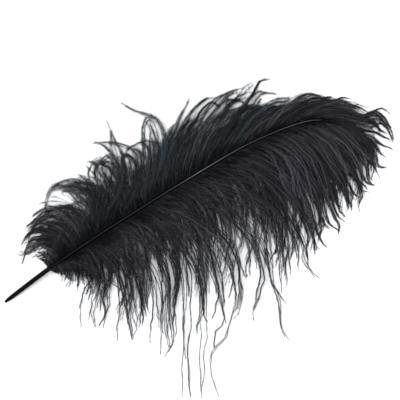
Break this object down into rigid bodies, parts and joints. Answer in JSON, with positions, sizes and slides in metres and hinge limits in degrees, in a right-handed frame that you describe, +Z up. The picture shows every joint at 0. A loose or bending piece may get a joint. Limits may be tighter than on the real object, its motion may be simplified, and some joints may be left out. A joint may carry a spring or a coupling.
{
  "type": "ostrich feather",
  "caption": "Long dyed ostrich wing plume with a bare round quill and two full vanes of loose drooping barbs, laid flat for decoration, costume or millinery.",
  "frame": {"origin": "middle of the plume's box, on the surface that it lies on", "axes": "+X from the quill's end towards the tip, +Y across to the shorter upper vane, +Z up from the surface"},
  "size_m": [0.402, 0.2642, 0.0378],
  "materials": {
    "shaft": "dyed black keratin, satin, rounded back with a fine lengthwise grain",
    "barbs": "dyed black feather barbs, soft and matt with a faint silky sheen along each barb"
  },
  "bodies": {
    "root": {"shaft": "shaft", "vane_upper": "barbs", "vane_lower": "barbs"}
  },
  "joints": []
}
